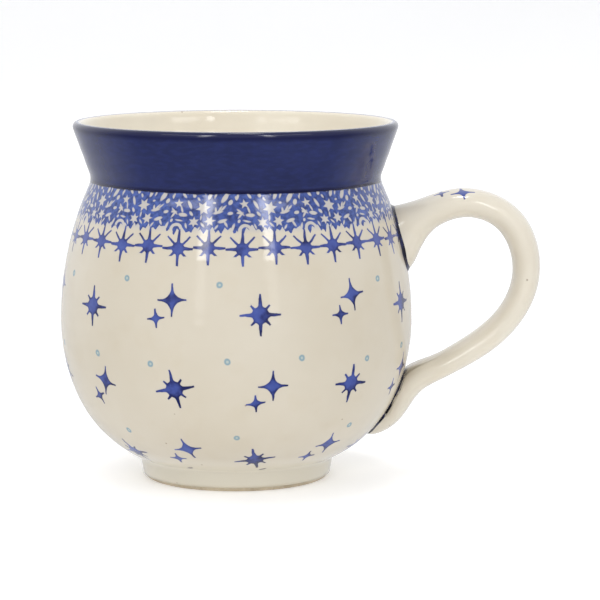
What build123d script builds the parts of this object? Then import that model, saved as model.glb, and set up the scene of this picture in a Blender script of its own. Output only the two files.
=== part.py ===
from build123d import *
import os
from math import acos, atan2, cos, degrees, hypot, pi, radians, sin, sqrt

# A hand-stamped stoneware mug: a round bulb on a small foot, a flared collar and a pressed ear handle.
# Millimetres. The mug's axis is Z, the foot stands on z = 0, and the handle points along +X.

# ---- driving dimensions ----------------------------------------------------------------------------
# Heights, stacked from the table upwards
foot_height = 5.9
belly_rise = 38.6               # foot to the widest point of the bulb
shoulder_rise = 39.7            # widest point to the narrowest point of the neck
collar_rise = 15.8              # neck to the top of the lip

# Diameters over the glaze
foot_diameter = 54.2
bulb_diameter = 98.4
neck_diameter = 81.0
rim_diameter = 90.6

# Wall and its curves
wall = 3.8
lip_thickness = 2.7
coat = 0.4                      # thickness of the glaze and of the cobalt band
neck_curve = 4.5                # radius of the hollow of the neck
belly_fullness = 6.6            # degrees the lower curve ends steeper than one plain arc would
belly_share = 0.364             # share of the lower curve's turn made by its gentle upper arc

# Foot ring
foot_taper = 0.9                # the foot is this much slimmer in radius at the table
foot_edge_round = 1.5
foot_corner_round = 0.8         # where the bulb meets the foot
ring_width = 4.6
recess_depth = 2.8
base_thickness = 3.9            # least thickness of the base over the recess
bare_edge = 1.2                 # unglazed strip at the bottom of the foot

# Cobalt collar
collar_edge_drop = 0.6          # its lower edge lies this far below the neck

# Handle, a flattened oval in section
handle_thickness = 6.8
handle_width = 13.6
handle_reach = 36.0             # from the bulb's widest point to the outside of the loop
upper_joint_drop = 16.6         # below the neck
lower_joint_height = 22.0
loop_bulge_drop = 9.8           # the loop's outermost point lies this far below the upper joint
lute_thickness = 0.6            # slip between the handle and the wall
line_width = 0.9                # painted line round each joint
line_height = 0.4               # how far the line's slip stands above the glaze

# ---- places that follow from them -------------------------------------------------------------------
foot_r = foot_diameter / 2
bulb_r = bulb_diameter / 2
neck_r = neck_diameter / 2
rim_r = rim_diameter / 2
lip_r = lip_thickness / 2
recess_r = foot_r - foot_taper - ring_width

bulb_z = foot_height + belly_rise
neck_z = bulb_z + shoulder_rise
top_z = neck_z + collar_rise
collar_edge_z = neck_z - collar_edge_drop

past_axis = 2 * bulb_r          # half sections are drawn past the axis by this much, then trimmed
past_lip = top_z + 20.0         # they run on above the lip to here
past_table = -1.0               # and below the table to here

# Lower curve: two tangent arcs, upright at the widest point, that end on the foot's upper edge.
tuck_in = bulb_r - foot_r
tuck_turn = 2 * atan2(tuck_in, belly_rise) + radians(belly_fullness)
belly_turn = belly_share * tuck_turn
cos_gain = cos(belly_turn) - cos(tuck_turn)
sin_gain = sin(tuck_turn) - sin(belly_turn)
balance = (1 - cos(belly_turn)) * sin_gain - cos_gain * sin(belly_turn)
belly_arc = (tuck_in * sin_gain - cos_gain * belly_rise) / balance
tuck_arc = ((1 - cos(belly_turn)) * belly_rise - sin(belly_turn) * tuck_in) / balance
belly_centre = (bulb_r - belly_arc, bulb_z)
tuck_centre = (belly_centre[0] + (belly_arc - tuck_arc) * cos(belly_turn),
               bulb_z - (belly_arc - tuck_arc) * sin(belly_turn))
belly_end_z = bulb_z - belly_arc * sin(belly_turn)

# Upper curve: one arc, upright at the widest point, that runs into the hollow of the neck.
narrowing = bulb_r - neck_r
neck_centre = (neck_r + neck_curve, neck_z)
shoulder_arc = (narrowing ** 2 + shoulder_rise ** 2) / (2 * narrowing) - neck_curve
shoulder_centre = (bulb_r - shoulder_arc, bulb_z)
shoulder_turn = atan2(neck_centre[1] - bulb_z, neck_centre[0] - shoulder_centre[0])

# Lip: half round, with the collar's widest point on its outside.
lip_centre = (rim_r - lip_r, top_z - lip_r)


def around(centre, radius, angle):
    return (centre[0] + radius * cos(angle), centre[1] + radius * sin(angle))


def arc(centre, radius, start, end):
    return CenterArc(centre, radius, degrees(start), degrees(end - start))


def collar_lean(neck_gap, lip_gap):
    """Lean, from upright, of the line that keeps these distances from the neck's and lip's centres."""
    across = neck_centre[0] - lip_centre[0]
    up = lip_centre[1] - neck_centre[1]
    return atan2(up, across) - acos((neck_gap + lip_gap) / hypot(across, up))


def region_within(depth, lean, lip_angle, floor):
    """Half-plane region inside a surface that lies this deep under the mug's glazed outside.
    lip_angle is where the straight collar touches the lip's circle. It ends at the height of the floor."""
    inner = abs(lip_angle) > pi / 2
    lip_radius = lip_r - (wall - depth if inner else depth)
    hollow = neck_curve + depth
    crest = around(lip_centre, lip_radius, pi / 2)
    bottom = around(tuck_centre, tuck_arc - depth, -pi / 2)
    edges = [
        Line((-past_axis, bottom[1]), bottom),
        arc(tuck_centre, tuck_arc - depth, -pi / 2, -belly_turn),
        arc(belly_centre, belly_arc - depth, -belly_turn, 0),
        arc(shoulder_centre, shoulder_arc - depth, 0, shoulder_turn),
        arc(neck_centre, hollow, pi + shoulder_turn, pi - lean),
        Line(around(neck_centre, hollow, pi - lean), around(lip_centre, lip_radius, lip_angle)),
        arc(lip_centre, lip_radius, lip_angle, pi / 2),
        Polyline(crest, (crest[0], past_lip), (-past_axis, past_lip), (-past_axis, bottom[1])),
    ]
    above_floor = Pos(0, (floor + past_lip) / 2) * Rectangle(4 * past_axis, past_lip - floor)
    return make_face(edges) & above_floor


def outer_region(depth):
    """Everything inside the outer surface, this deep under the glaze, foot and hollow included."""
    lean = collar_lean(neck_curve, lip_r)
    bulb = region_within(depth, lean, -lean, foot_height / 2)
    overlap = 2.0
    slope = foot_taper / foot_height
    foot_bottom = foot_r - foot_taper - depth
    foot = make_face(Polyline(
        (-past_axis, 0), (foot_bottom, 0),
        (foot_bottom + slope * (foot_height + overlap), foot_height + overlap),
        (-past_axis, foot_height + overlap), (-past_axis, 0)))
    foot = fillet(foot.vertices().sort_by_distance((foot_bottom, 0, 0))[0], foot_edge_round)
    region = bulb + foot
    corner = region.vertices().sort_by_distance((foot_r - depth, foot_height, 0))[0]
    return fillet(corner, foot_corner_round + depth)


def hollow_region(depth):
    """The space inside the mug, with its surface this deep under the liner glaze."""
    lean = collar_lean(neck_curve + wall, -lip_r)
    return region_within(wall - depth, lean, pi - lean, recess_depth + base_thickness - depth)


def spin(region, low=past_table, high=past_lip):
    """Solid of revolution of the part of a region between two heights."""
    keep = Pos(past_axis, (low + high) / 2) * Rectangle(2 * past_axis, high - low)
    return revolve(Plane.XZ * (region & keep), Axis.Z, 360)


# ---- the thrown body and its coats ------------------------------------------------------------------
def mug_body():
    recess = Pos(0, recess_depth / 2) * Rectangle(2 * recess_r, recess_depth)
    ring = outer_region(coat) - hollow_region(coat) - recess
    inner_edge = ring.vertices().sort_by_distance((recess_r, 0, 0))[0]
    return spin(fillet(inner_edge, foot_edge_round))


def outside_coat(low, high):
    return spin(outer_region(0) - outer_region(coat), low, high)


def interior_glaze():
    return spin(hollow_region(coat) - hollow_region(0))


def base_glaze():
    return Pos(0, 0, recess_depth) * Cylinder(recess_r, coat, align=(Align.CENTER, Align.CENTER, Align.MAX))


# ---- the handle and its joints ----------------------------------------------------------------------
def outside_radius(z):
    if z >= bulb_z:
        centre, radius = shoulder_centre, shoulder_arc
    elif z >= belly_end_z:
        centre, radius = belly_centre, belly_arc
    else:
        centre, radius = tuck_centre, tuck_arc
    return centre[0] + sqrt(radius ** 2 - (z - centre[1]) ** 2)


def handle_stations():
    """Centre (x, z) of each section of the ear, with its thickness and width as shares of the nominal."""
    up_z = neck_z - upper_joint_drop
    up_x = outside_radius(up_z)
    low_z = lower_joint_height
    low_x = outside_radius(low_z)
    bulge_x = bulb_r + handle_reach - handle_thickness / 2 - coat
    upper = [(-6.5, -4.2, 2.05, 1.34), (0.2, 0.6, 1.85, 1.24), (5.2, 5.0, 1.34, 1.12),
             (11.0, 7.9, 1.13, 1.04), (17.0, 9.3, 1.08, 1.00), (29.7, 4.8, 1.05, 1.00)]
    lower = [(31.7, 21.7, 0.94, 0.98), (19.3, 12.0, 0.90, 0.96), (12.3, 8.3, 0.90, 0.97),
             (6.0, 5.1, 1.00, 1.02), (2.1, -0.4, 0.86, 1.04), (-1.6, -5.7, 0.72, 0.86),
             (-8.3, -8.7, 0.20, 0.40)]
    stations = [(up_x + dx, up_z + dz, thick, wide) for dx, dz, thick, wide in upper]
    stations.append((bulge_x, up_z - loop_bulge_drop, 1.0, 1.0))
    stations += [(low_x + dx, low_z + dz, thick, wide) for dx, dz, thick, wide in lower]
    return stations


def ear(grow):
    """The whole ear, run on into the wall at both ends, its section grown by a coat or a line."""
    stations = handle_stations()
    path = Spline(*[(x, 0, z) for x, z, _, _ in stations])
    sections = []
    for x, z, thick, wide in stations:
        along = path.tangent_at(path.param_at_point((x, 0, z)))
        plane = Plane(origin=(x, 0, z), x_dir=(0, 1, 0), z_dir=along)
        sections.append(plane * Ellipse(wide * handle_width / 2 + grow, thick * handle_thickness / 2 + grow))
    return loft(sections)


def upper_half(shape):
    """The part of a joint piece above the bulb's widest point; the rest belongs to the lower joint."""
    return [solid for solid in shape.solids() if solid.center().Z > bulb_z]


def lower_half(shape):
    return [solid for solid in shape.solids() if solid.center().Z <= bulb_z]


def build():
    clay_outside = spin(outer_region(coat))
    glaze_outside = spin(outer_region(0))
    lute_outside = spin(outer_region(coat - lute_thickness))
    line_outside = spin(outer_region(-line_height))
    bare_ear = ear(0)
    glazed_ear = ear(coat)
    lined_ear = ear(coat + line_width)

    lutes = (glazed_ear & lute_outside) - clay_outside
    lines = (lined_ear & line_outside) - glaze_outside - glazed_ear
    return {
        "mug_body": mug_body(),
        "interior_glaze": interior_glaze(),
        "base_glaze": base_glaze(),
        "body_glaze": outside_coat(bare_edge, collar_edge_z) - glazed_ear,
        "cobalt_collar_band": outside_coat(collar_edge_z, past_lip),
        "handle": bare_ear - lute_outside,
        "handle_glaze": glazed_ear - bare_ear - lute_outside,
        "upper_handle_lute": upper_half(lutes),
        "lower_handle_lute": lower_half(lutes),
        "upper_joint_line": upper_half(lines),
        "lower_joint_line": lower_half(lines),
    }


os.makedirs("parts", exist_ok=True)
for node, shape in build().items():
    if isinstance(shape, list):
        shape = Compound(shape) if len(shape) > 1 else shape[0]
    export_step(shape, f"parts/{node}.step")
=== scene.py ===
from math import acos, atan2, cos, hypot, pi, radians, sin, sqrt

import bmesh
import bpy
import numpy as np
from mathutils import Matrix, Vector
from mathutils.bvhtree import BVHTree


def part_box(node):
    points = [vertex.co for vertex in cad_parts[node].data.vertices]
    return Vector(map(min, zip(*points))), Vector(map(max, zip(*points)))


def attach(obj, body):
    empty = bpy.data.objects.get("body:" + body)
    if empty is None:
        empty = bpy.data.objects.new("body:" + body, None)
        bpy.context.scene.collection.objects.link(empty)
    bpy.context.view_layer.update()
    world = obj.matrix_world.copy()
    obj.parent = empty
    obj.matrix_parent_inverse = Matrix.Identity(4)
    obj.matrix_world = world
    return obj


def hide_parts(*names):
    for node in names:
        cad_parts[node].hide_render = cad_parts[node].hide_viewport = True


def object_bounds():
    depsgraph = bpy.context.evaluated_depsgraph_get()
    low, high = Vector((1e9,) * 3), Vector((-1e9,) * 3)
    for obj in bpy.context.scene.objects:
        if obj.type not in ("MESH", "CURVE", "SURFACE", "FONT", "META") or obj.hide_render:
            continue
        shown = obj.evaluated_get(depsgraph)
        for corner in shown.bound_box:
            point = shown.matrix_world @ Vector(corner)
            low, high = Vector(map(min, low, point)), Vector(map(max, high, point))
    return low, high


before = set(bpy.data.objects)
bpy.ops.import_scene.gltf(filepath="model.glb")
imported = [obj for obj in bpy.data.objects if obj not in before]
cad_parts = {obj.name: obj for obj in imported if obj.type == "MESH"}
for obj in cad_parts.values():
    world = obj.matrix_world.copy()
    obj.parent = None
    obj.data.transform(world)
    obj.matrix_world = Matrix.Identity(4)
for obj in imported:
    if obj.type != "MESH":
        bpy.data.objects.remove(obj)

# A hand-stamped stoneware mug. Everything here is in metres, in the CAD part's own frame.
MM = 0.001
cad_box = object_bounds()

# ---- the mug's outline, from the CAD nodes and the part's own curves ---------------------------------
glaze_low, glaze_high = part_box("body_glaze")
collar_low, collar_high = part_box("cobalt_collar_band")

bare_edge = glaze_low.z
bulb_r = glaze_high.y
collar_edge_z = collar_low.z
rim_r = collar_high.y
top_z = collar_high.z
recess_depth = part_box("base_glaze")[1].z

coat = 0.4 * MM
wall = 3.8 * MM
lip_r = 1.35 * MM
foot_height = 5.9 * MM
bulb_z = foot_height + 38.6 * MM
neck_z = bulb_z + 39.7 * MM
neck_r = 40.5 * MM
neck_curve = 4.5 * MM
foot_r = 27.1 * MM
foot_taper = 0.9 * MM
foot_edge_round = 1.5 * MM
foot_corner_round = 0.8 * MM
base_thickness = 3.9 * MM
belly_fullness = radians(6.6)
belly_share = 0.364

tuck_in = bulb_r - foot_r
belly_rise = bulb_z - foot_height
tuck_turn = 2 * atan2(tuck_in, belly_rise) + belly_fullness
belly_turn = belly_share * tuck_turn
cos_gain = cos(belly_turn) - cos(tuck_turn)
sin_gain = sin(tuck_turn) - sin(belly_turn)
balance = (1 - cos(belly_turn)) * sin_gain - cos_gain * sin(belly_turn)
belly_arc = (tuck_in * sin_gain - cos_gain * belly_rise) / balance
tuck_arc = ((1 - cos(belly_turn)) * belly_rise - sin(belly_turn) * tuck_in) / balance
belly_centre = (bulb_r - belly_arc, bulb_z)
tuck_centre = (belly_centre[0] + (belly_arc - tuck_arc) * cos(belly_turn),
               bulb_z - (belly_arc - tuck_arc) * sin(belly_turn))
belly_end_z = bulb_z - belly_arc * sin(belly_turn)

shoulder_rise = neck_z - bulb_z
narrowing = bulb_r - neck_r
neck_centre = (neck_r + neck_curve, neck_z)
shoulder_arc = (narrowing ** 2 + shoulder_rise ** 2) / (2 * narrowing) - neck_curve
shoulder_centre = (bulb_r - shoulder_arc, bulb_z)
shoulder_turn = atan2(neck_centre[1] - bulb_z, neck_centre[0] - shoulder_centre[0])
lip_centre = (rim_r - lip_r, top_z - lip_r)


def around(centre, radius, angle):
    return (centre[0] + radius * cos(angle), centre[1] + radius * sin(angle))


def arc_points(centre, radius, start, end, count):
    return [around(centre, radius, start + (end - start) * i / count) for i in range(count + 1)]


def collar_lean(neck_gap, lip_gap):
    across = neck_centre[0] - lip_centre[0]
    up = lip_centre[1] - neck_centre[1]
    return atan2(up, across) - acos((neck_gap + lip_gap) / hypot(across, up))


def upper_curve(depth, inner):
    """Points (r, z) from the low end of the tuck up to the crest of the lip, this deep under the glaze."""
    if inner:
        lean, lip_radius = collar_lean(neck_curve + wall, -lip_r), lip_r - (wall - depth)
        lip_start = pi - lean
    else:
        lean, lip_radius = collar_lean(neck_curve, lip_r), lip_r - depth
        lip_start = -lean
    points = arc_points(tuck_centre, tuck_arc - depth, -pi / 2 + 0.002, -belly_turn, 60)
    points += arc_points(belly_centre, belly_arc - depth, -belly_turn, 0, 34)[1:]
    points += arc_points(shoulder_centre, shoulder_arc - depth, 0, shoulder_turn, 52)[1:]
    hollow = arc_points(neck_centre, neck_curve + depth, pi + shoulder_turn, pi - lean, 10)
    points += hollow[1:]
    low, high = hollow[-1], around(lip_centre, lip_radius, lip_start)
    points += [(low[0] + (high[0] - low[0]) * i / 20, low[1] + (high[1] - low[1]) * i / 20)
               for i in range(1, 20)]
    points += arc_points(lip_centre, lip_radius, lip_start, pi / 2, 14)
    return points


def clip_heights(points, low, high):
    """The stretch of a rising curve between two heights, with its ends exactly on them."""
    kept = [points[0]] if low <= points[0][1] <= high else []
    for (r0, z0), (r1, z1) in zip(points, points[1:]):
        for edge in (low, high):
            if z0 < edge < z1:
                share = (edge - z0) / (z1 - z0)
                kept.append((r0 + (r1 - r0) * share, edge))
        if low <= z1 <= high:
            kept.append((r1, z1))
    return kept


def foot_outside(depth):
    """Points (r, z) up the foot's outside, into the bulb, with the corner eased."""
    slope = foot_taper / foot_height
    low_r = foot_r - foot_taper - depth
    foot = [(low_r + slope * z, z) for z in np.linspace(bare_edge, foot_height, 14)]
    turned = []
    for r, z in foot:
        rise = max(0.0, 1 - z / foot_edge_round)
        turned.append((r - foot_edge_round * (1 - sqrt(1 - rise ** 2)), z))
    bulb = [p for p in upper_curve(depth, False) if p[1] > foot_height and p[0] > low_r + foot_taper]
    corner = Vector((foot_r - depth, foot_height))
    before = Vector(turned[-2]) - corner
    after = Vector(bulb[2]) - corner
    reach = foot_corner_round * 0.9
    start = corner + before.normalized() * reach
    end = corner + after.normalized() * reach
    eased = []
    for i in range(7):
        t = i / 6
        eased.append(tuple(start * (1 - t) ** 2 + corner * 2 * t * (1 - t) + end * t ** 2))
    stem = [p for p in turned if p[1] < start.y - 0.05 * MM]
    crown = [p for p in bulb if (Vector(p) - corner).length > reach * 1.15]
    return stem + eased + crown


def resample(points, step):
    """The same curve with points about this far apart, its ends kept."""
    points = np.array(points)
    gaps = np.hypot(*np.diff(points, axis=0).T)
    along = np.concatenate(([0.0], np.cumsum(gaps)))
    count = max(2, int(round(along[-1] / step)))
    places = np.linspace(0.0, along[-1], count + 1)
    return list(zip(np.interp(places, along, points[:, 0]), np.interp(places, along, points[:, 1])))


def climb_at(height):
    """Millimetres along the outside from the bulb's widest point to a height on it, up positive."""
    return float(np.interp(height, climb_table[:, 0], climb_table[:, 1])) / MM


def make_climb_table():
    curve = resample(foot_outside(0.0), 0.3 * MM)
    gaps = np.hypot(*np.diff(np.array(curve), axis=0).T)
    along = np.concatenate(([0.0], np.cumsum(gaps)))
    heights = np.array([z for _, z in curve])
    return np.column_stack((heights, along - np.interp(bulb_z, heights, along)))


climb_table = make_climb_table()


def outside_radius(z):
    if z >= bulb_z:
        centre, radius = shoulder_centre, shoulder_arc
    elif z >= belly_end_z:
        centre, radius = belly_centre, belly_arc
    else:
        centre, radius = tuck_centre, tuck_arc
    return centre[0] + sqrt(max(0.0, radius ** 2 - (z - centre[1]) ** 2))


def hand_wave(turn, z):
    """How far the thrown wall wanders from true: a slight oval, and faint rings from the fingers."""
    fade = np.clip((z - foot_height) / (8 * MM), 0, 1)
    oval = 0.05 * np.sin(2 * turn + 0.6) + 0.035 * np.sin(3 * turn + 2.1 + z * 40)
    rings = 0.018 * np.sin(z * 1450 + 0.8 * np.sin(turn)) + 0.012 * np.sin(z * 620 + turn)
    return (oval + rings) * fade * MM


# ---- meshes ------------------------------------------------------------------------------------------
def finish_mesh(name, vertices, faces, layers=(), maps=(), closed=True):
    mesh = bpy.data.meshes.new(name)
    mesh.from_pydata([tuple(v) for v in vertices], [], faces)
    for layer, values in layers:
        attribute = mesh.attributes.new(layer, "FLOAT", "POINT")
        attribute.data.foreach_set("value", np.asarray(values, np.float32))
    for layer, corners in maps:
        mesh.uv_layers.new(name=layer).data.foreach_set("uv", np.asarray(corners, np.float32).ravel())
    if closed:
        work = bmesh.new()
        work.from_mesh(mesh)
        bmesh.ops.recalc_face_normals(work, faces=work.faces)
        work.to_mesh(mesh)
        work.free()
    mesh.polygons.foreach_set("use_smooth", [True] * len(mesh.polygons))
    mesh.update()
    thing = bpy.data.objects.new(name, mesh)
    bpy.context.scene.collection.objects.link(thing)
    return thing


ON_AXIS = 1e-6                  # a point closer to the axis than this lies on it


def lathe(name, loop, shown, steps, folds):
    """Turned shell round the mug's axis. loop is a ring of (r, z) points; its first `shown` points are the
    visible face. An end on the axis makes it an open strip. The unwrapped face is folded into bands."""
    loop = np.array(loop)
    ring = loop[0][0] > ON_AXIS
    count = len(loop)
    turns = np.arange(steps) * 2 * pi / steps - pi / 2
    vertices, climbs, firsts = [], [], []
    for r, z in loop:
        firsts.append(len(vertices))
        if r < ON_AXIS:
            vertices.append((0.0, 0.0, z))
        else:
            sway = 1.0 if r > 5 * MM else 0.0
            for turn in turns:
                radius = r + sway * hand_wave(turn, z)
                vertices.append((radius * sin(turn), -radius * cos(turn), z))
        climbs += [climb_at(z)] * (len(vertices) - len(climbs))
    firsts.append(len(vertices))

    def spot(i, k):
        return firsts[i] + (0 if loop[i][0] < ON_AXIS else k)

    last = count if ring else count - 1
    gaps = [float(np.hypot(*(loop[(i + 1) % count] - loop[i]))) for i in range(last)]
    weights = [gap * (1.0 if i < shown - 1 else 0.06) for i, gap in enumerate(gaps)]
    heights = np.concatenate(([0.0], np.cumsum(weights))) / sum(weights)
    faces, corners = [], []
    band = steps // folds
    margin = 0.004
    for i in range(last):
        j = (i + 1) % count
        v0, v1 = heights[i], heights[i + 1]
        for k in range(steps):
            n, fold = (k + 1) % steps, k // band
            u0, u1 = (k - fold * band) / band, (k + 1 - fold * band) / band
            face = [spot(i, k), spot(i, n), spot(j, n), spot(j, k)]
            place = [(u0, v0), (u1, v0), (u1, v1), (u0, v1)]
            if face[0] == face[1]:
                face, place = face[1:], [((u0 + u1) / 2, v0)] + place[2:]
            elif face[2] == face[3]:
                face, place = face[:3], place[:2] + [((u0 + u1) / 2, v1)]
            faces.append(face)
            corners += [(margin + u * (1 - 2 * margin), (fold + margin + v * (1 - 2 * margin)) / folds)
                        for u, v in place]
    return finish_mesh(name, vertices, faces, [("climb", climbs)], [("OFBake", corners)])


def skin_between(outer, inner, step=0.75 * MM, inner_step=3.0 * MM):
    """A closed ring of points: up the visible face and back down the hidden one."""
    face = resample(outer, step)
    back = resample(inner, inner_step)[::-1]
    return face + back, len(face)


outer_all = foot_outside(0.0)
inner_all = foot_outside(coat)
loop, shown = skin_between(clip_heights(outer_all, bare_edge, collar_edge_z),
                           clip_heights(inner_all, bare_edge, collar_edge_z))
body_skin = lathe("body_glaze_skin", loop, shown, 272, 2)

past_top = top_z + 1e-6
loop, shown = skin_between(clip_heights(outer_all, collar_edge_z, past_top),
                           clip_heights(inner_all, collar_edge_z, past_top), 0.5 * MM)
collar_skin = lathe("collar_glaze_skin", loop, shown, 272, 4)


def hollow_curve(under):
    """Points from the axis, across the mug's floor and up its inside to the lip's crest."""
    floor_z = recess_depth + base_thickness - under
    rise = [p for p in upper_curve(wall - under, True) if p[1] > floor_z + 0.02 * MM]
    return [(0.0, floor_z)] + [(r, floor_z) for r in np.linspace(2 * MM, rise[0][0] - 1 * MM, 8)] + rise


face = resample(hollow_curve(0.0), 0.9 * MM)[::-1]
back = resample(hollow_curve(coat), 3.0 * MM)
liner_loop = face[::-1] + back[::-1]
liner_skin = lathe("liner_glaze_skin", liner_loop, len(face), 224, 2)

# ---- the handle --------------------------------------------------------------------------------------
handle_thickness = 6.8 * MM
handle_width = 13.6 * MM
upper_z = neck_z - 16.6 * MM
lower_z = 22.0 * MM
upper_x, lower_x = outside_radius(upper_z), outside_radius(lower_z)
bulge = (bulb_r + 36.0 * MM - handle_thickness / 2 - coat, upper_z - 9.8 * MM)
# Stations from each joint: millimetres out and up from it, then shares of the thickness and the width.
upper = [(-6.5, -4.2, 2.05, 1.34), (0.2, 0.6, 1.85, 1.24), (5.2, 5.0, 1.34, 1.12),
         (11.0, 7.9, 1.13, 1.04), (17.0, 9.3, 1.08, 1.00), (29.7, 4.8, 1.05, 1.00)]
lower = [(31.7, 21.7, 0.94, 0.98), (19.3, 12.0, 0.90, 0.96), (12.3, 8.3, 0.90, 0.97),
         (6.0, 5.1, 1.00, 1.02), (2.1, -0.4, 0.86, 1.04), (-1.6, -5.7, 0.72, 0.86), (-8.3, -8.7, 0.20, 0.40)]
stations = [(upper_x + dx * MM, upper_z + dz * MM, t, w) for dx, dz, t, w in upper]
stations += [(bulge[0], bulge[1], 1.0, 1.0)]
stations += [(lower_x + dx * MM, lower_z + dz * MM, t, w) for dx, dz, t, w in lower]
stations = np.array(stations)


class CubicLine:
    """A smooth curve through points, with continuous bend, spaced by the distance between them."""

    def __init__(self, values, knots):
        self.knots, self.values = knots, values
        count = len(knots)
        gaps = np.diff(knots)
        system, right = np.zeros((count, count)), np.zeros((count, values.shape[1]))
        system[0, :3] = gaps[1], -(gaps[0] + gaps[1]), gaps[0]
        system[-1, -3:] = gaps[-1], -(gaps[-2] + gaps[-1]), gaps[-2]
        for i in range(1, count - 1):
            system[i, i - 1:i + 2] = gaps[i - 1], 2 * (gaps[i - 1] + gaps[i]), gaps[i]
            right[i] = 6 * ((values[i + 1] - values[i]) / gaps[i] - (values[i] - values[i - 1]) / gaps[i - 1])
        self.bends = np.linalg.solve(system, right)

    def at(self, place):
        i = int(np.clip(np.searchsorted(self.knots, place) - 1, 0, len(self.knots) - 2))
        gap = self.knots[i + 1] - self.knots[i]
        b = (place - self.knots[i]) / gap
        a = 1 - b
        value = a * self.values[i] + b * self.values[i + 1]
        return value + ((a ** 3 - a) * self.bends[i] + (b ** 3 - b) * self.bends[i + 1]) * gap ** 2 / 6


chords = np.concatenate(([0.0], np.cumsum(np.hypot(*np.diff(stations[:, :2], axis=0).T))))
ear_line = CubicLine(stations, chords)
ear_shares = CubicLine(np.eye(len(chords)), chords)


def station_outward(place):
    """The direction, at one station, from the ear's centre line to the loop's outer side."""
    ahead, behind = ear_line.at(place + 1e-5), ear_line.at(place - 1e-5)
    along = np.array((ahead[0] - behind[0], ahead[1] - behind[1]))
    along /= hypot(*along)
    return -along[1], 0.0, along[0]


centres = np.column_stack((stations[:, 0], np.zeros(len(chords)), stations[:, 1]))
outwards = np.array([station_outward(place) for place in chords])
sideways = np.array([(0.0, 1.0, 0.0)])
half_thick, half_wide = stations[:, 2:3] * handle_thickness / 2, stations[:, 3:4] * handle_width / 2


def ear_point(place, turn, grow):
    """A point of the ear's surface: place along it, turn round its section from the loop's outer side."""
    rim = centres + outwards * (half_thick + grow) * cos(turn) + sideways * (half_wide + grow) * sin(turn)
    return Vector(ear_shares.at(place) @ rim)


def depth_under(point):
    """How deep a point lies under the mug's glazed outside; negative in the open."""
    z = point.z
    if z >= bulb_z:
        centre, radius = shoulder_centre, shoulder_arc
    elif z >= belly_end_z:
        centre, radius = belly_centre, belly_arc
    else:
        centre, radius = tuck_centre, tuck_arc
    return radius - hypot(hypot(point.x, point.y) - centre[0], z - centre[1])


def joined_tree(meshes):
    """One search tree over the surfaces of several meshes."""
    vertices, faces = [], []
    for mesh in meshes:
        first = len(vertices)
        vertices += [v.co.copy() for v in mesh.vertices]
        faces += [[first + i for i in polygon.vertices] for polygon in mesh.polygons]
    return BVHTree.FromPolygons(vertices, faces)


cad_ear = joined_tree([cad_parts[name].data
                       for name in ("handle_glaze", "upper_handle_lute", "lower_handle_lute")])
HIDDEN = coat - 0.03 * MM       # deeper than this the CAD ear has no side of its own
FARTHEST = 13 * MM              # no side of the ear is farther than this from its centre line
FLARE, FLARE_LENGTH = 1.5 * MM, 7.5 * MM
FLARE_END = chords[2] + 4.0 * MM
FILL_STARTS, FILL_LENGTH = 10.5 * MM, 9.0 * MM      # heights of the ear's centre line over the wall
SKIRT = 0.9 * MM


def flared(place, turn):
    """How far the slip smoothed over the top of the upper root stands out from the ear."""
    near = float(np.clip((FLARE_END - place) / FLARE_LENGTH, 0, 1))
    return FLARE * near ** 2 * max(0.0, cos(turn)) ** 2


def filled(place, turn, depth):
    """The slip wiped in under the ear's sides, which lets them drop straight to the wall."""
    near = float(np.clip((FILL_STARTS + depth) / FILL_LENGTH, 0, 1))
    near = near * near * (3 - 2 * near)
    half = ear_line.at(place)[3] * handle_width / 2 + coat
    slope, facing = abs(sin(turn)), max(0.0, -cos(turn) + 0.25)
    squarer = half * (slope ** 0.6 - slope) * min(1.0, facing * 2)
    skirt = SKIRT * slope ** 0.7 * min(1.0, facing * 1.2)
    return Vector((0.0, 1.0, 0.0)) * (near * (squarer + skirt * near) * (1 if sin(turn) > 0 else -1))


def ear_surface(place, turn):
    """The CAD ear's own glazed side at this place and turn, or None where it is inside the wall."""
    centre = Vector(ear_shares.at(place) @ centres)
    guess = ear_point(place, turn, coat)
    ray = (guess - centre).normalized()
    start, found = centre, None
    for _ in range(8):
        hit = cad_ear.ray_cast(start, ray, FARTHEST - (start - centre).length)[0]
        if hit is None:
            break
        found, start = hit, hit + ray * 0.02 * MM
    if found is None:
        return None
    found = found + ray * flared(place, turn) + filled(place, turn, depth_under(centre))
    return None if depth_under(found) > HIDDEN else found


def crossing(turn, depth, lower_end):
    """Where along the ear this line of its side passes this depth under the mug's glaze."""
    def sunk(place):
        point = ear_surface(place, turn)
        return point is None or depth_under(point) > depth

    steps = np.linspace(chords[6], chords[-1] if lower_end else chords[0], 90)
    for a, b in zip(steps, steps[1:]):
        if sunk(b):
            for _ in range(18):
                mid = (a + b) / 2
                a, b = (a, mid) if sunk(mid) else (mid, b)
            return a
    return steps[-1]


def pressed(place, turn):
    """Slight unevenness of a handle pressed by hand."""
    return (0.03 * sin(place * 310 + 1.3) * cos(turn) + 0.025 * sin(place * 170 + 2 * turn)) * MM


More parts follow.
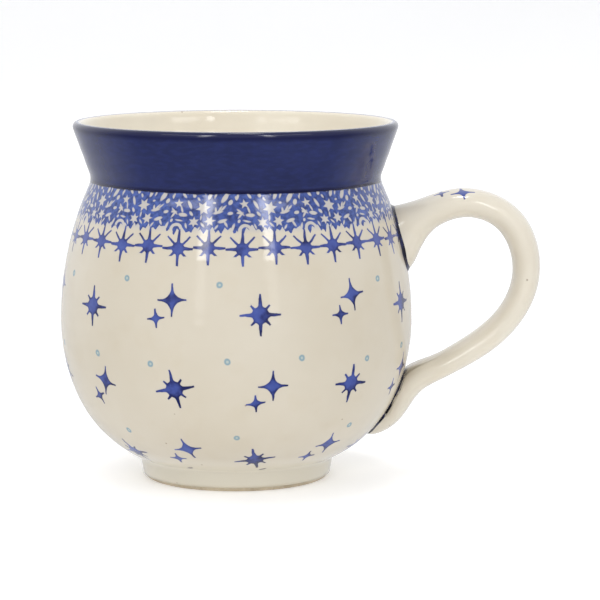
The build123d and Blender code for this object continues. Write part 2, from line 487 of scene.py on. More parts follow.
COLUMNS, ROWS = 72, 230
TUCKED_IN = 0.25 * MM           # the skin's two ends go this far into the mug's glaze
PROUD = 0.03 * MM               # its outer face stands this far outside the CAD ear
SKIN_DEPTH = 0.28 * MM          # and its inner face lies this far inside it
outer_grid, inner_grid, alongs, acrosses = [], [], [], []
turns = [2 * pi * k / COLUMNS for k in range(COLUMNS)]
starts = [crossing(t, TUCKED_IN, False) for t in turns]
ends = [crossing(t, TUCKED_IN, True) for t in turns]
for row in range(ROWS + 1):
    share = row / ROWS
    for k, turn in enumerate(turns):
        place = starts[k] + (ends[k] - starts[k]) * share
        centre = Vector(ear_shares.at(place) @ centres)
        side = ear_surface(place, turn) or ear_point(place, turn, coat)
        out = (side - centre).normalized()
        outer_grid.append(side + out * (PROUD + pressed(place, turn)))
        inner_grid.append(side - out * SKIN_DEPTH)
        _, _, thick, wide = ear_line.at(place)
        signed_turn = turn if turn <= pi else turn - 2 * pi
        quarter = (wide * handle_width + thick * handle_thickness) * 0.39
        acrosses.append(signed_turn / (pi / 2) * quarter / MM)
        alongs.append(place / MM)
outer_count = len(outer_grid)
faces, corners = [], []
spots = lambda row, k: (k * 0.98 + 0.01, row * 0.96 + 0.02)
for first, left, width in ((0, 0.0, 0.9), (outer_count, 0.92, 0.06)):
    for row in range(ROWS):
        for k in range(COLUMNS):
            n = (k + 1) % COLUMNS
            a, b = first + row * COLUMNS + k, first + row * COLUMNS + n
            c, d = b + COLUMNS, a + COLUMNS
            u0, u1 = left + k / COLUMNS * width, left + (k + 1) / COLUMNS * width
            v0, v1 = row / ROWS, (row + 1) / ROWS
            quad, places = (a, b, c, d), [spots(v0, u0), spots(v0, u1), spots(v1, u1), spots(v1, u0)]
            if first == 0:
                quad, places = (a, d, c, b), [places[0], places[3], places[2], places[1]]
            faces.append(quad)
            corners += places
for row, flip in ((0, False), (ROWS, True)):
    for k in range(COLUMNS):
        n = (k + 1) % COLUMNS
        a, b = row * COLUMNS + k, row * COLUMNS + n
        quad = (a, b, outer_count + b, outer_count + a)
        u0, u1 = k / COLUMNS * 0.9, (k + 1) / COLUMNS * 0.9
        v0, v1 = (1.005, 1.015) if flip else (-0.015, -0.005)
        spread = [spots(v0, u0), spots(v0, u1), spots(v1, u1), spots(v1, u0)]
        faces.append(quad[::-1] if flip else quad)
        corners += spread[::-1] if flip else spread
handle_skin = finish_mesh("handle_glaze_skin", outer_grid + inner_grid, faces,
                          [("along", alongs * 2), ("across", acrosses * 2)], [("OFBake", corners)])


# ---- the painted line round each joint ---------------------------------------------------------------
skin_tree = joined_tree([handle_skin.data])


def wall_normal(point):
    """The direction straight out of the mug's wall beside a point."""
    e = 0.02 * MM
    here = depth_under(point)
    return -Vector([(depth_under(point + Vector(step)) - here) / e
                    for step in ((e, 0, 0), (0, e, 0), (0, 0, e))]).normalized()


def joint_corners(lower_end, count):
    """Evenly spaced points where the ear's side meets the mug's glaze, right round one root."""
    turns = np.linspace(0, 2 * pi, 241)
    corners = [ear_surface(crossing(t, 0.0, lower_end), t) for t in turns]
    gone = np.concatenate(([0.0], np.cumsum([(b - a).length for a, b in zip(corners, corners[1:])])))
    spread = np.interp(np.linspace(0, gone[-1], count + 1)[:-1], gone, turns)
    corners = [ear_surface(crossing(t, 0.0, lower_end), t) for t in spread]
    return [corners[k - 1] * 0.25 + corners[k] * 0.5 + corners[(k + 1) % count] * 0.25 for k in range(count)]


def joint_line(name, lower_end, phase):
    """A brushed line that fills the corner between handle and wall and feathers out on both."""
    count, curve = 200, 8
    corners = joint_corners(lower_end, count)
    middle = sum(corners, Vector()) / count
    vertices = []
    for k, corner in enumerate(corners):
        normal = wall_normal(corner)
        corner = corner + normal * depth_under(corner)
        tangent = (corners[(k + 1) % count] - corners[k - 1]).normalized()
        away = tangent.cross(normal).normalized()
        if away.dot(corner - middle) < 0:
            away = -away
        turn = 2 * pi * k / count
        press = 1 + 0.14 * sin(3 * turn + phase) + 0.09 * sin(7 * turn + 2 * phase)
        wide, tall = 0.70 * MM * press, 0.72 * MM * press

        def on_ear(height):
            start = corner + normal * height + away * 2.5 * MM
            hit = skin_tree.ray_cast(start, -away, 5 * MM)[0]
            return hit if hit else corner + normal * height

        foot = corner + away * wide
        foot += normal * (depth_under(foot) - 0.03 * MM)
        knee = corner + (away + normal) * 0.22 * MM
        top = on_ear(tall) + away * 0.02 * MM
        vertices += [foot * (1 - t) ** 2 + knee * 2 * t * (1 - t) + top * t ** 2
                     for t in np.linspace(0, 1, curve)]
        vertices += [top - away * 0.2 * MM, corner - (away + normal) * 0.2 * MM]
    section = curve + 2
    faces = []
    for k in range(count):
        n = (k + 1) % count
        for i in range(section):
            j = (i + 1) % section
            faces.append((k * section + i, n * section + i, n * section + j, k * section + j))
    return finish_mesh(name, vertices, faces)


upper_line = joint_line("upper_joint_bead", False, 0.4)
lower_line = joint_line("lower_joint_bead", True, 1.9)


# ---- arithmetic for materials ------------------------------------------------------------------------
class Num:
    """A number inside a material's node tree; working with it adds Math nodes."""

    def __init__(self, tree, socket):
        self.tree, self.socket = tree, socket

    def math(self, operation, *others, clamp=False):
        node = self.tree.nodes.new("ShaderNodeMath")
        node.operation, node.use_clamp = operation, clamp
        for i, value in enumerate((self, *others)):
            if isinstance(value, Num):
                self.tree.links.new(value.socket, node.inputs[i])
            else:
                node.inputs[i].default_value = value
        return Num(self.tree, node.outputs[0])

    def __add__(self, other):
        return self.math("ADD", other)

    def __sub__(self, other):
        return self.math("SUBTRACT", other)

    def __mul__(self, other):
        return self.math("MULTIPLY", other)

    def __truediv__(self, other):
        return self.math("DIVIDE", other)

    __radd__, __rmul__ = __add__, __mul__

    def times_plus(self, factor, more):
        return self.math("MULTIPLY_ADD", factor, more)

    def below(self, other):
        return self.math("MINIMUM", other)

    def above(self, other):
        return self.math("MAXIMUM", other)

    def size(self):
        return self.math("ABSOLUTE")

    def ramp(self, start, end):
        """0 where the number is at start, 1 at end, straight between and held outside."""
        return self.times_plus(1 / (end - start), -start / (end - start)).clamped()

    def clamped(self):
        return self.math("ADD", 0.0, clamp=True)


def nearest(value, pitch, offset, count=0):
    """The number of the nearest place on an even row, and how far the value is from it.
    Where the row closes on itself, count is how many places it has, and the number wraps round."""
    index = value.times_plus(1 / pitch, 0.5 - offset / pitch).math("FLOOR")
    away = value - index.times_plus(pitch, offset)
    if count:
        index = (index + float(count)).math("MODULO", float(count))
    return index, away


def inside(distance, soft):
    """1 where a signed distance is negative, 0 outside, with an edge this soft."""
    return distance.math("MULTIPLY_ADD", -1 / soft, 0.5, clamp=True)


class Surface:
    """A new node material, with the few blocks that every finish here uses."""

    def __init__(self, name):
        self.material = bpy.data.materials.new(name)
        self.material.use_nodes = True
        self.tree = self.material.node_tree
        self.shader = self.tree.nodes["Principled BSDF"]
        self.object_place = self.tree.nodes.new("ShaderNodeTexCoord").outputs["Object"]
        axes = self.tree.nodes.new("ShaderNodeSeparateXYZ")
        self.tree.links.new(self.object_place, axes.inputs[0])
        self.x, self.y, self.z = (Num(self.tree, axes.outputs[i]) * 1000.0 for i in range(3))

    def attribute(self, name):
        node = self.tree.nodes.new("ShaderNodeAttribute")
        node.attribute_name = name
        return Num(self.tree, node.outputs["Fac"])

    def vector(self, x, y, z=0.0):
        node = self.tree.nodes.new("ShaderNodeCombineXYZ")
        for i, value in enumerate((x, y, z)):
            if isinstance(value, Num):
                self.tree.links.new(value.socket, node.inputs[i])
            else:
                node.inputs[i].default_value = value
        return node.outputs[0]

    def noise(self, scale, detail=2.0, place=None, stretch=None):
        """Smooth noise about 0.5; scale is per metre, or per unit of the place given."""
        node = self.tree.nodes.new("ShaderNodeTexNoise")
        node.inputs["Scale"].default_value = scale
        node.inputs["Detail"].default_value = detail
        if stretch:
            mapping = self.tree.nodes.new("ShaderNodeMapping")
            mapping.inputs["Scale"].default_value = stretch
            self.tree.links.new(place or self.object_place, mapping.inputs[0])
            place = mapping.outputs[0]
        self.tree.links.new(place or self.object_place, node.inputs["Vector"])
        return node

    def noise_value(self, *args, **kwargs):
        return Num(self.tree, self.noise(*args, **kwargs).outputs["Fac"])

    def noise_pair(self, *args, **kwargs):
        split = self.tree.nodes.new("ShaderNodeSeparateColor")
        self.tree.links.new(self.noise(*args, **kwargs).outputs["Color"], split.inputs[0])
        return Num(self.tree, split.outputs[0]) - 0.5, Num(self.tree, split.outputs[1]) - 0.5

    def lot(self, first, second, seed):
        """Three even random numbers that depend on two whole numbers."""
        node = self.tree.nodes.new("ShaderNodeTexWhiteNoise")
        node.noise_dimensions = "3D"
        self.tree.links.new(self.vector(first, second, seed), node.inputs["Vector"])
        split = self.tree.nodes.new("ShaderNodeSeparateColor")
        self.tree.links.new(node.outputs["Color"], split.inputs[0])
        return [Num(self.tree, split.outputs[i]) for i in range(3)]

    def mix(self, share, low, high):
        """A colour between two; each is a colour or the socket of one."""
        node = self.tree.nodes.new("ShaderNodeMix")
        node.data_type = "RGBA"
        if isinstance(share, Num):
            self.tree.links.new(share.socket, node.inputs[0])
        else:
            node.inputs[0].default_value = share
        for slot, value in ((6, low), (7, high)):
            if isinstance(value, tuple):
                node.inputs[slot].default_value = (*value, 1.0)
            else:
                self.tree.links.new(value, node.inputs[slot])
        return node.outputs[2]

    def speckle(self, colour, tint, scale, size, share):
        """Scatters small specks of iron through a glaze."""
        cells = self.tree.nodes.new("ShaderNodeTexVoronoi")
        cells.inputs["Scale"].default_value = scale
        self.tree.links.new(self.object_place, cells.inputs["Vector"])
        split = self.tree.nodes.new("ShaderNodeSeparateColor")
        self.tree.links.new(cells.outputs["Color"], split.inputs[0])
        chosen = Num(self.tree, split.outputs[0]).math("LESS_THAN", share)
        near = Num(self.tree, cells.outputs["Distance"]).ramp(size, size * 0.5)
        return self.mix(chosen * near * 0.55, colour, tint)

    def gloss(self, colour, low=0.06, high=0.13, bump=0.05):
        """Glassy glaze: colour, a slightly uneven polish, and the faint ripple of a fired surface."""
        if isinstance(colour, tuple):
            self.shader.inputs["Base Color"].default_value = (*colour, 1.0)
        else:
            self.tree.links.new(colour, self.shader.inputs["Base Color"])
        polish = self.noise_value(160.0, 3.0).times_plus((high - low) * 1.6, low - 0.3 * (high - low))
        self.tree.links.new(polish.socket, self.shader.inputs["Roughness"])
        self.shader.inputs["IOR"].default_value = 1.52
        self.bump(self.noise_value(230.0, 1.5) + self.noise_value(1500.0, 1.0) * 0.10, bump, 0.35 * MM)

    def bump(self, height, strength, distance):
        node = self.tree.nodes.new("ShaderNodeBump")
        node.inputs["Strength"].default_value = strength
        node.inputs["Distance"].default_value = distance
        self.tree.links.new(height.socket, node.inputs["Height"])
        self.tree.links.new(node.outputs[0], self.shader.inputs["Normal"])

    def put_on(self, *things):
        for thing in things:
            thing.data.materials.clear()
            thing.data.materials.append(self.material)


def paint(red, green, blue):
    """A colour as painters' charts give it, 0 to 255, turned into light."""
    shares = (red / 255, green / 255, blue / 255)
    return tuple(c / 12.92 if c <= 0.04 else ((c + 0.055) / 1.055) ** 2.4 for c in shares)


CREAM = paint(216, 208, 191)
BODY = paint(203, 194, 176)
BODY_PALE = paint(208, 200, 184)
BODY_WARM = paint(198, 186, 163)
# painted light: the paler cream that stands in for floor bounce on the foot
FOOT_BOUNCE_LIGHT = paint(226, 220, 204)
CREAM_WARM = paint(212, 200, 178)
CREAM_PALE = paint(223, 216, 201)
LINER = paint(238, 231, 214)
LINER_DEEP_AND_SHADE = paint(226, 216, 196)
NAVY = paint(17, 20, 60)
INK = paint(12, 12, 34)
COBALT = paint(48, 58, 126)
COBALT_LIGHT = paint(76, 94, 164)
LACE = paint(52, 70, 140)
LACE_LIGHT = paint(88, 112, 182)
COBALT_WASH = paint(134, 150, 196)
RING = paint(88, 134, 160)
RING_PALE = paint(164, 186, 184)
COLLAR = paint(27, 33, 70)
COLLAR_LIGHT = paint(43, 51, 96)
CLAY = paint(205, 191, 165)
CLAY_DARK = paint(176, 160, 134)
IRON = paint(120, 92, 62)


def span(x, y):
    """How far a place (x, y) is from its middle."""
    return (x * x + y * y).math("SQRT")


def star_edge(x, y, cx, cy, radius, points, hollow, tilt):
    """Signed distance to a straight-sided star."""
    dx, dy = x - cx, y - cy
    reach = span(dx, dy)
    half = pi / points
    angle = (dy.math("ARCTAN2", dx) + (20 * half - tilt)).math("PINGPONG", half)
    nx, ny = hollow * sin(half), 1 - hollow * cos(half)
    size = hypot(nx, ny)
    return reach * (angle - atan2(ny, nx)).math("COSINE") - radius * nx / size


def oval_edge(x, y, cx, cy, long, short, tilt):
    """Nearly the signed distance to an oval."""
    c, s = cos(tilt), sin(tilt)
    u = x.times_plus(c / long, y.times_plus(s / long, -(cx * c + cy * s) / long))
    v = x.times_plus(-s / short, y.times_plus(c / short, (cx * s - cy * c) / short))
    return (u * u).math("ADD", v * v).times_plus(short / 2, -short / 2)


def rays(x, y, length, root, tip):
    """Signed distance to four tapering rays along the axes; root and tip are half widths."""
    ax, ay = x.size(), y.size()
    far, near = ax.above(ay), ax.below(ay)
    return (near + far * ((root - tip) / length) - root).above(far - length)


def burst(x, y, size):
    """Signed distance to a four-pointed star with hollow sides and blunt tips."""
    hollow = 0.52               # 1 would give straight sides
    spread = (x.size() + 0.02).math("POWER", hollow) + (y.size() + 0.02).math("POWER", hollow)
    body = spread.math("POWER", 1 / hollow) * 0.40 - size * 0.44
    return body.math("SMOOTH_MIN", rays(x, y, size, 0.45, 0.21), 0.4)


def turned(x, y, angle):
    """The same place seen from axes turned by an angle, which is a Num in radians."""
    c, s = angle.math("COSINE"), angle.math("SINE")
    return x * c + y * s, y * c - x * s


# ---- the stamped glaze -------------------------------------------------------------------------------
# Turns are in degrees from the side opposite +Y; heights are in millimetres along the outside from the
# bulb's widest point, up positive.
climb_of_collar = climb_at(collar_edge_z)
STAR_COUNT, STAR_FIRST = 12, 7.5
ROW_EDGES = (-2.6, -25.5)       # the middle row lies between these
CHAIN_COUNT, CHAIN_FIRST, CHAIN_HEIGHT = 33, 1.9, 25.2
LACE_COUNT, LACE_FIRST, LACE_HEIGHT = 15, 12.2, 36.2
LACE_HEM = -7.2                 # the lace's lower edge, from its own height
# One lace stamp, in millimetres from its middle: stars (x, y, radius, points, hollow, tilt), ...
LACE_STARS = ((0.0, 0.0, 1.95, 6, 0.50, 0.2), (-2.3, -3.9, 1.5, 6, 0.5, 0.5), (2.0, -3.6, 1.55, 6, 0.5, 0.1),
              (-6.8, 1.2, 1.3, 5, 0.46, 0.4))
# ... and leaves and drops (x, y, half length, half width, tilt).
LACE_OVALS = (
    (-3.2, -1.5, 0.70, 0.38, 2.2), (2.9, 1.4, 0.40, 0.30, 0.0), (5.6, 2.9, 1.55, 0.62, 1.05),
    (7.3, -1.4, 0.70, 0.45, 0.2), (7.1, 1.6, 0.75, 0.55, 1.3), (8.8, 2.7, 0.85, 0.48, 2.2),
    (1.6, 3.4, 1.05, 0.48, 1.2), (3.1, 3.5, 0.80, 0.26, 1.25), (-1.4, 2.6, 0.55, 0.30, 2.1),
    (-2.6, 3.6, 0.60, 0.48, 1.6), (-5.3, 3.5, 0.75, 0.38, 2.3), (-8.5, 3.2, 0.95, 0.36, 1.2),
    (-6.5, -3.5, 0.95, 0.26, -0.15), (-8.6, -3.6, 0.45, 0.34, 0.9), (-3.7, 1.0, 1.25, 0.40, 2.0),
    (-5.5, -1.9, 1.15, 0.50, -0.1), (-5.8, -0.4, 1.00, 0.26, 1.85), (-8.0, -1.0, 1.25, 0.30, -0.8),
    (-8.2, -1.2, 0.95, 0.30, 0.0), (-8.1, -1.9, 1.10, 0.28, 0.95), (4.0, -1.1, 1.30, 0.42, 0.25),
    (3.4, -0.6, 0.75, 0.30, 1.7), (4.5, -0.3, 0.95, 0.28, 1.0), (5.3, -0.1, 1.05, 0.26, 0.8),
    (5.4, -3.5, 1.20, 0.45, 0.35), (6.3, -4.3, 0.95, 0.30, -1.0),
    (0.2, 4.3, 0.60, 0.26, 2.0), (-4.2, 4.6, 0.70, 0.28, 1.1), (-7.0, 4.7, 0.60, 0.26, 1.9),
    (4.4, 4.7, 0.65, 0.26, 2.1), (6.9, 4.4, 0.60, 0.24, 1.2), (-0.4, -2.6, 0.70, 0.24, 1.5),
    (0.1, -4.6, 0.75, 0.26, 2.3), (3.9, -5.2, 0.70, 0.26, 1.0), (-4.4, -4.9, 0.70, 0.26, 1.9),
    (8.3, -5.4, 1.2, 0.35, 1.3), (-1.0, -6.0, 0.9, 0.28, 1.1))


def stamped_glaze():
    m = Surface("stamped_glaze")
    girth = span(m.x, m.y)
    turn = m.x.math("ARCTAN2", m.y * -1.0) * (180 / pi)
    climb = m.attribute("climb")
    degree = girth * (pi / 180)
    drift_x, drift_y = m.noise_pair(420.0, 2.0)
    wide_x, wide_y = m.noise_pair(70.0, 1.0)
    drift_x = drift_x * 0.55 + wide_x * 0.5
    drift_y = drift_y * 0.55 + wide_y * 0.5
    up = climb + drift_y

    # Rows of stars on the bulb: a big eight-rayed star, or a pair of four-rayed ones, turn about.
    column, off = nearest(turn, 360 / STAR_COUNT, STAR_FIRST, STAR_COUNT)
    middle_row = up.math("LESS_THAN", ROW_EDGES[0])
    low_row = up.math("LESS_THAN", ROW_EDGES[1])
    row = middle_row + low_row
    odd = (column + row).math("PINGPONG", 1.0).math("ROUND")
    shift_1, shift_2, shift_3 = m.lot(column, row, 3.0)
    tilt = shift_3.times_plus(0.5, -0.25)
    x = off * degree + drift_x + shift_1.times_plus(1.0, -0.5) - (middle_row - low_row) * 1.9
    star_y = up - middle_row.times_plus(-20.7, 7.5) + low_row * 25.1 + shift_2.times_plus(1.0, -0.5)
    sx, sy = turned(x, star_y, tilt)
    reach = span(sx, sy)
    long_rays = rays(sx, sy, 5.6, 0.85, 0.24)
    diag = 1 / sqrt(2)
    dx, dy = (sx + sy) * diag, (sy - sx) * diag
    short_rays = rays(dx, dy, 3.75, 0.55, 0.25)
    eight = (reach - 2.35).math("SMOOTH_MIN", long_rays, 0.7).math("SMOOTH_MIN", short_rays, 0.5)

    pair_y = up - middle_row.times_plus(-23.5, 11.5) + low_row * 21.0 + shift_2.times_plus(1.0, -0.5)
    px, py = turned(x - 1.6, pair_y, tilt * 1.3 + 0.04)
    four = burst(px, py * 0.94, 4.1)
    qx, qy = turned(x + 2.9, pair_y + 5.0, tilt * -1.1 + 0.12)
    small = burst(qx, qy, 2.6)
    pair = four.below(small)
    stars = eight.times_plus(1.0, (pair - eight) * odd)

    # Small rings and dashes between the rows.
    def rings(pitch, offset, height, keep=None):
        index, away = nearest(turn, pitch, offset, round(360 / pitch))
        a, b, _ = m.lot(index, 7.0, height)
        rx = away * degree + a.times_plus(2.4, -1.2) + drift_x
        ry = up - height + b.times_plus(2.4, -1.2)
        out = span(rx, ry)
        if keep:
            place_in_group = index.math("MODULO", keep[0])
            out = out + (place_in_group - keep[1]).size().math("LESS_THAN", 0.5) * 50.0
        return out

    dots = rings(30.0, -6.4, 15.6, (4.0, 1.0)).below(rings(24.0, -3.0, -5.0)).below(rings(45.0, 1.0, -27.0))
    index, away = nearest(turn, 40.0, -26.0, 9)
    a, b, _ = m.lot(index, 2.0, 5.0)
    dash = oval_edge(away * degree + drift_x, up + b.times_plus(3.0, 0.0), 0.0, -43.5, 1.0, 0.42, 0.5)

    # A chain of eight-rayed stars under the lace.
    index, away = nearest(turn, 360 / CHAIN_COUNT, CHAIN_FIRST, CHAIN_COUNT)
    a, b, _ = m.lot(index, 1.0, 9.0)
    cx = away * degree + drift_x * 0.8 + a.times_plus(0.5, -0.25)
    cy = up - CHAIN_HEIGHT + b.times_plus(0.5, -0.25)
    reach = span(cx, cy)
    upright = rays(cx, cy, 5.2, 0.62, 0.24)
    upright = upright.above(cy * -1.0 - 4.6)
    ex, ey = (cx + cy) * diag, (cy - cx) * diag
    slanted = rays(ex, ey, 4.6, 0.42, 0.22).above(cy * -1.0 - 2.1)
    chain = (reach - 1.75).math("SMOOTH_MIN", upright, 0.5).math("SMOOTH_MIN", slanted, 0.3)

    # The lace: a blue band with stars, leaves and drops left bare in it.
    index, away = nearest(turn, 360 / LACE_COUNT, LACE_FIRST, LACE_COUNT)
    a, b, _ = m.lot(index, 4.0, 1.0)
    lx = away * degree + drift_x * 0.55 + a.times_plus(0.4, -0.2)
    ly = up - LACE_HEIGHT + b.times_plus(0.4, -0.2)
    bare = star_edge(lx, ly, *LACE_STARS[0])
    for place in LACE_STARS[1:]:
        bare = bare.below(star_edge(lx, ly, *place))
    for place in LACE_OVALS:
        bare = bare.below(oval_edge(lx, ly, *place))
    bow_x, bow_y = lx + 7.1, ly + 6.2
    bare = bare.below(((span(bow_x, bow_y) - 1.5).size() - 0.42).above(bow_y * -1.0))
    flames = (lx + 40.0).math("PINGPONG", 0.81) * 1.3 + (lx + 41.3).math("PINGPONG", 2.1) * 0.7
    hem = ly - LACE_HEM - flames + drift_x * 4.5
    lace = bare.math("MULTIPLY", -1.0).above(hem * -1.0)

    outline = stars.below(dash).below(chain)
    ring_mark = (dots - 0.60).size() - 0.28
    ink = inside(outline, 0.16).above(inside(lace, 0.20))
    wash = inside(dots - 0.82, 0.25)

    # Cobalt thins and pools under the stamp: pale in the middle, dark at edges and where it gathered.
    mottle = m.noise_value(330.0, 3.0)
    patch = m.noise_value(95.0, 2.0)
    rim = (outline.size() * -1.0).ramp(-0.75, -0.1)
    gathered = (sx * 0.22 - sy * 0.20 + 0.35).clamped()
    deep = (mottle * 1.5 + patch * 0.9 - 0.72 + rim * 0.22 + gathered * 0.34).clamped()
    blue = m.mix(deep, COBALT_LIGHT, COBALT)
    blue = m.mix((deep * 1.7 - 0.95).clamped(), blue, NAVY)
    in_lace = climb.ramp(29.0, 30.5)
    fleck = (m.noise_value(900.0, 2.0) * 2.4 - 0.9).clamped()
    lace_blue = m.mix(fleck * 0.75 + mottle * 0.1, m.mix(patch, LACE, LACE_LIGHT), NAVY)
    blue = m.mix(in_lace, blue, lace_blue)

    ground = m.mix(m.noise_value(34.0, 3.0).ramp(0.35, 0.7), BODY, BODY_PALE)
    ground = m.mix(m.noise_value(120.0, 4.0).ramp(0.5, 0.8) * 0.35, ground, BODY_WARM)
    # Painted light: the low bulb and the foot are painted paler towards the table, standing in for light
    # bounced up from the floor.
    ground = m.mix(m.z.ramp(11.0, 6.0) * 0.8, ground, FOOT_BOUNCE_LIGHT)
    ground = m.speckle(ground, IRON, 420.0, 0.15, 0.012)
    halo = inside(outline, 1.1) * 0.16 + in_lace * 0.22
    ground = m.mix(halo, ground, COBALT_WASH)
    ground = m.mix(wash * 0.6, ground, RING_PALE)
    ground = m.mix(inside(ring_mark, 0.3) * 0.6, ground, RING)
    thin_edge = m.z.ramp(bare_edge / MM + 0.9, bare_edge / MM)
    ground = m.mix(thin_edge * 0.35, ground, CLAY)
    colour = m.mix(ink, ground, blue)
    brushed = climb_of_collar - 0.28
    edge = (up + drift_x * 0.7).ramp(brushed - 0.12, brushed + 0.12)
    colour = m.mix(edge, colour, NAVY)
    m.gloss(colour)
    return m


def cobalt_collar():
    m = Surface("cobalt_glaze")
    streaks = m.noise_value(60.0, 4.0, stretch=(1.0, 1.0, 1.6))
    cloud = m.noise_value(28.0, 3.0)
    blue = m.mix((streaks * 1.1 + cloud * 0.7 - 0.45).clamped(), COLLAR, COLLAR_LIGHT)
    fine = m.noise_value(700.0, 3.0, stretch=(0.5, 0.5, 1.5))
    blue = m.mix((fine - 0.42).clamped() * 0.7, blue, COBALT)
    wander = (m.noise_value(90.0, 2.0) - 0.5) * 0.9
    low_edge = (m.z + wander).ramp(collar_edge_z / MM + 0.95, collar_edge_z / MM + 0.45)
    blue = m.mix(low_edge * 0.9, blue, NAVY)
    lip_band = (m.z + wander * 0.4).ramp(top_z / MM - 2.9, top_z / MM - 1.8)
    blue = m.mix(lip_band * 0.85, blue, NAVY)
    thin = (m.z + wander * 0.10).ramp(top_z / MM - 0.10, top_z / MM - 0.01)
    blue = m.mix(thin * 0.8, blue, COBALT_WASH)
    m.gloss(blue, 0.07, 0.15)
    return m


def liner_glaze():
    m = Surface("liner_glaze")
    tone = m.mix(m.noise_value(30.0, 3.0).ramp(0.35, 0.7), LINER, LINER_DEEP_AND_SHADE)
    tone = m.mix(m.noise_value(150.0, 4.0).ramp(0.55, 0.8) * 0.3, tone, CREAM_PALE)
    # Painted shade: the inside grows darker towards its floor, deep in the hollow.
    low = m.z.ramp(30.0, 8.0)
    tone = m.mix(low * 0.25, tone, LINER_DEEP_AND_SHADE)
    tone = m.speckle(tone, IRON, 380.0, 0.16, 0.04)
    thin = m.z.ramp(top_z / MM - 0.25, top_z / MM - 0.04)
    tone = m.mix(thin * 0.55, tone, COBALT_WASH)
    m.gloss(tone)
    return m


HANDLE_STAR = chords[4]         # one stamp sits on the crown of the loop


def handle_glaze():
    m = Surface("handle_glaze")
    along, across = m.attribute("along"), m.attribute("across")
    drift_x, drift_y = m.noise_pair(330.0, 2.0)
    index, away = nearest(along, 15.5, HANDLE_STAR / MM)
    a, b, c = m.lot(index, 6.0, 2.0)
    other = index.size().below(1.0)
    x = away + drift_x * 0.4 + a.times_plus(1.4, -0.7) * other
    y = across + drift_y * 0.4 + 3.3 - other * b.times_plus(1.6, 5.0)
    tilt = c.times_plus(0.5, -0.25) * other

    marks = burst(*turned(x, y, tilt + 0.1), 2.9).below(burst(*turned(x + 4.9, y - 1.6, tilt * -1.2), 1.9))
    window = across.size().ramp(8.6, 7.4) * (index - 1.0).size().math("LESS_THAN", 2.5)
    ink = inside(marks, 0.16) * window
    mottle = m.noise_value(330.0, 3.0)
    blue = m.mix((mottle * 1.8 - 0.35).clamped(), COBALT_LIGHT, COBALT)
    blue = m.mix((mottle * 2.2 - 1.1).clamped(), blue, NAVY)
    ground = m.mix(m.noise_value(45.0, 3.0).ramp(0.35, 0.7), CREAM, CREAM_PALE)
    ground = m.mix(m.noise_value(120.0, 4.0).ramp(0.5, 0.8) * 0.35, ground, CREAM_WARM)
    ground = m.speckle(ground, IRON, 420.0, 0.16, 0.035)
    m.gloss(m.mix(ink, ground, blue))
    return m


def line_glaze():
    m = Surface("cobalt_line")
    tone = m.mix(m.noise_value(500.0, 3.0).ramp(0.45, 0.8) * 0.6, INK, COBALT)
    m.gloss(tone, 0.08, 0.16)
    return m


def base_finish():
    m = Surface("base_glaze_finish")
    tone = m.mix(m.noise_value(60.0, 3.0).ramp(0.35, 0.7), CREAM, CREAM_WARM)
    tone = m.speckle(tone, IRON, 380.0, 0.16, 0.05)
    m.gloss(tone)
    return m


def clay(name, seed):
    m = Surface(name)
    tone = m.mix(m.noise_value(180.0 + seed, 4.0).ramp(0.35, 0.7), CLAY, CLAY_DARK)
    tone = m.mix(m.noise_value(1300.0 + seed, 3.0).ramp(0.5, 0.75) * 0.5, tone, CREAM)
    tone = m.speckle(tone, IRON, 900.0, 0.25, 0.10)
    m.tree.links.new(tone, m.shader.inputs["Base Color"])
    rough = m.noise_value(900.0, 3.0).times_plus(0.25, 0.58)
    m.tree.links.new(rough.socket, m.shader.inputs["Roughness"])
    m.bump(m.noise_value(2600.0, 4.0), 0.35, 0.12 * MM)
    return m


stamped_glaze().put_on(body_skin)
cobalt_collar().put_on(collar_skin)
liner_glaze().put_on(liner_skin)
handle_glaze().put_on(handle_skin)
line_glaze().put_on(upper_line, lower_line)
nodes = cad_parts
base_finish().put_on(nodes["base_glaze"])
clay("bare_clay", 0.0).put_on(nodes["mug_body"])
clay("handle_clay", 13.0).put_on(nodes["handle"])
clay("joint_slip", 29.0).put_on(nodes["upper_handle_lute"], nodes["lower_handle_lute"])

for piece, node, slot in (
        (body_skin, "body_glaze", "stamped_glaze"), (collar_skin, "cobalt_collar_band", "cobalt_glaze"),
        (liner_skin, "interior_glaze", "liner_glaze"), (handle_skin, "handle_glaze", "handle_glaze"),
        (upper_line, "upper_joint_line", "cobalt_line"), (lower_line, "lower_joint_line", "cobalt_line")):
    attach(piece, "root")
    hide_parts(node)

# ---- the studio --------------------------------------------------------------------------------------
scene = bpy.context.scene


def make_floor():
    """A pale sweep: flat under the mug, and curved up well behind it."""
    depth = [(-2.4, 0.0), (1.4, 0.0)]
    depth += [(1.4 + 1.2 * sin(a), 1.2 - 1.2 * cos(a)) for a in np.linspace(0.05, pi / 2, 24)]
    depth += [(2.6, 3.2)]
    vertices = [(x, y, z) for y, z in depth for x in (-3.2, 3.2)]
    faces = [(2 * i, 2 * i + 1, 2 * i + 3, 2 * i + 2) for i in range(len(depth) - 1)]
    sweep = finish_mesh("floor_sweep", vertices, faces, closed=False)
    m = Surface("floor_paper")
    tone = m.mix(m.noise_value(3.0, 2.0).ramp(0.3, 0.7), paint(244, 244, 244), paint(240, 240, 241))
    m.tree.links.new(tone, m.shader.inputs["Base Color"])
    m.shader.inputs["Roughness"].default_value = 0.6
    m.shader.inputs["Emission Color"].default_value = (1.0, 1.0, 1.0, 1.0)
    m.shader.inputs["Emission Strength"].default_value = 0.30
    m.put_on(sweep)
    sweep.visible_glossy = False


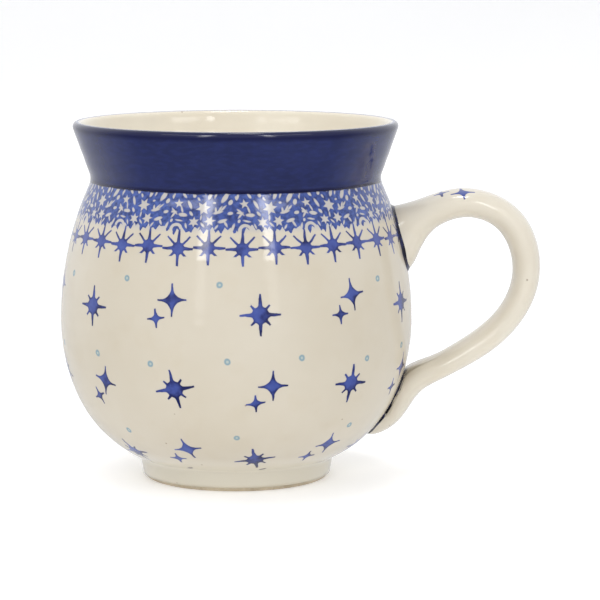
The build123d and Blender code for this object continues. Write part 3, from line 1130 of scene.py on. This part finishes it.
def soft_light(name, place, aim, width, height, power, reflected=True):
    light = bpy.data.lights.new(name, "AREA")
    light.shape, light.size, light.size_y, light.energy = "RECTANGLE", width, height, power
    lamp = bpy.data.objects.new(name, light)
    lamp.location = place
    lamp.rotation_euler = (Vector(aim) - Vector(place)).to_track_quat("-Z", "Y").to_euler()
    lamp.visible_glossy = reflected
    scene.collection.objects.link(lamp)


make_floor()
middle = Vector((0, 0, (cad_box[0][2] + cad_box[1][2]) / 2))


def beside_camera(turn, away, height):
    return (away * sin(turn), -away * cos(turn), height)


STRIP_TURN, STRIP_AWAY = radians(23.3), 1.15
HIGH, LOW = 0.86, 0.27          # heights of the strips' middles
for side, name in ((-1, "left_strip"), (1, "right_strip")):
    high = beside_camera(side * STRIP_TURN, STRIP_AWAY, HIGH)
    low = beside_camera(side * STRIP_TURN, STRIP_AWAY, LOW)
    soft_light(name, high, (0, 0, HIGH), 0.15, 0.70, 2.4)
    soft_light(name + "_foot", low, (0, 0, LOW), 0.12, 0.46, 0.17)
    wing = beside_camera(side * radians(38), 0.92, HIGH)
    soft_light(name + "_wing", wing, (0, 0, 0.09), 0.75, 0.13, 0.9)
soft_light("key_box", (-0.45, -0.4, 1.6), middle, 1.0, 1.0, 5.0, reflected=False)
soft_light("top_box", (0.1, 0.1, 1.9), middle, 0.5, 0.22, 4.6)
soft_light("front_box", (0.1, -1.9, 0.5), middle, 1.2, 1.2, 1.6, reflected=False)


def make_world():
    """Even light from a white room, dimmer below the table's edge and brighter behind the mug."""
    world = bpy.data.worlds.new("studio")
    world.use_nodes = True
    tree = world.node_tree
    direction = tree.nodes.new("ShaderNodeTexCoord").outputs["Generated"]
    axes = tree.nodes.new("ShaderNodeSeparateXYZ")
    tree.links.new(direction, axes.inputs[0])
    rise = Num(tree, axes.outputs[2]).times_plus(2.2, 0.55).clamped()
    behind = Num(tree, axes.outputs[1]).ramp(-0.1, 0.5) * 0.55
    level = rise.times_plus(0.34, 0.20) + behind
    tree.nodes["Background"].inputs["Color"].default_value = (0.97, 0.98, 1.0, 1.0)
    tree.links.new(level.socket, tree.nodes["Background"].inputs["Strength"])
    return world


scene.world = make_world()
scene.view_settings.view_transform = "Standard"

# ---- the camera --------------------------------------------------------------------------------------
CAMERA_PLACE = Vector((0.0, -0.7812, 0.1552))
lens = bpy.data.cameras.new("camera")
lens.angle = radians(12.194)
lens.clip_start, lens.clip_end = 0.01, 20.0
camera = bpy.data.objects.new("camera", lens)
camera.location = CAMERA_PLACE
yaw, pitch = radians(1.310), radians(7.70)
aim = Vector((sin(yaw) * cos(pitch), cos(yaw) * cos(pitch), -sin(pitch)))
camera.rotation_euler = aim.to_track_quat("-Z", "Y").to_euler()
scene.collection.objects.link(camera)
scene.camera = camera
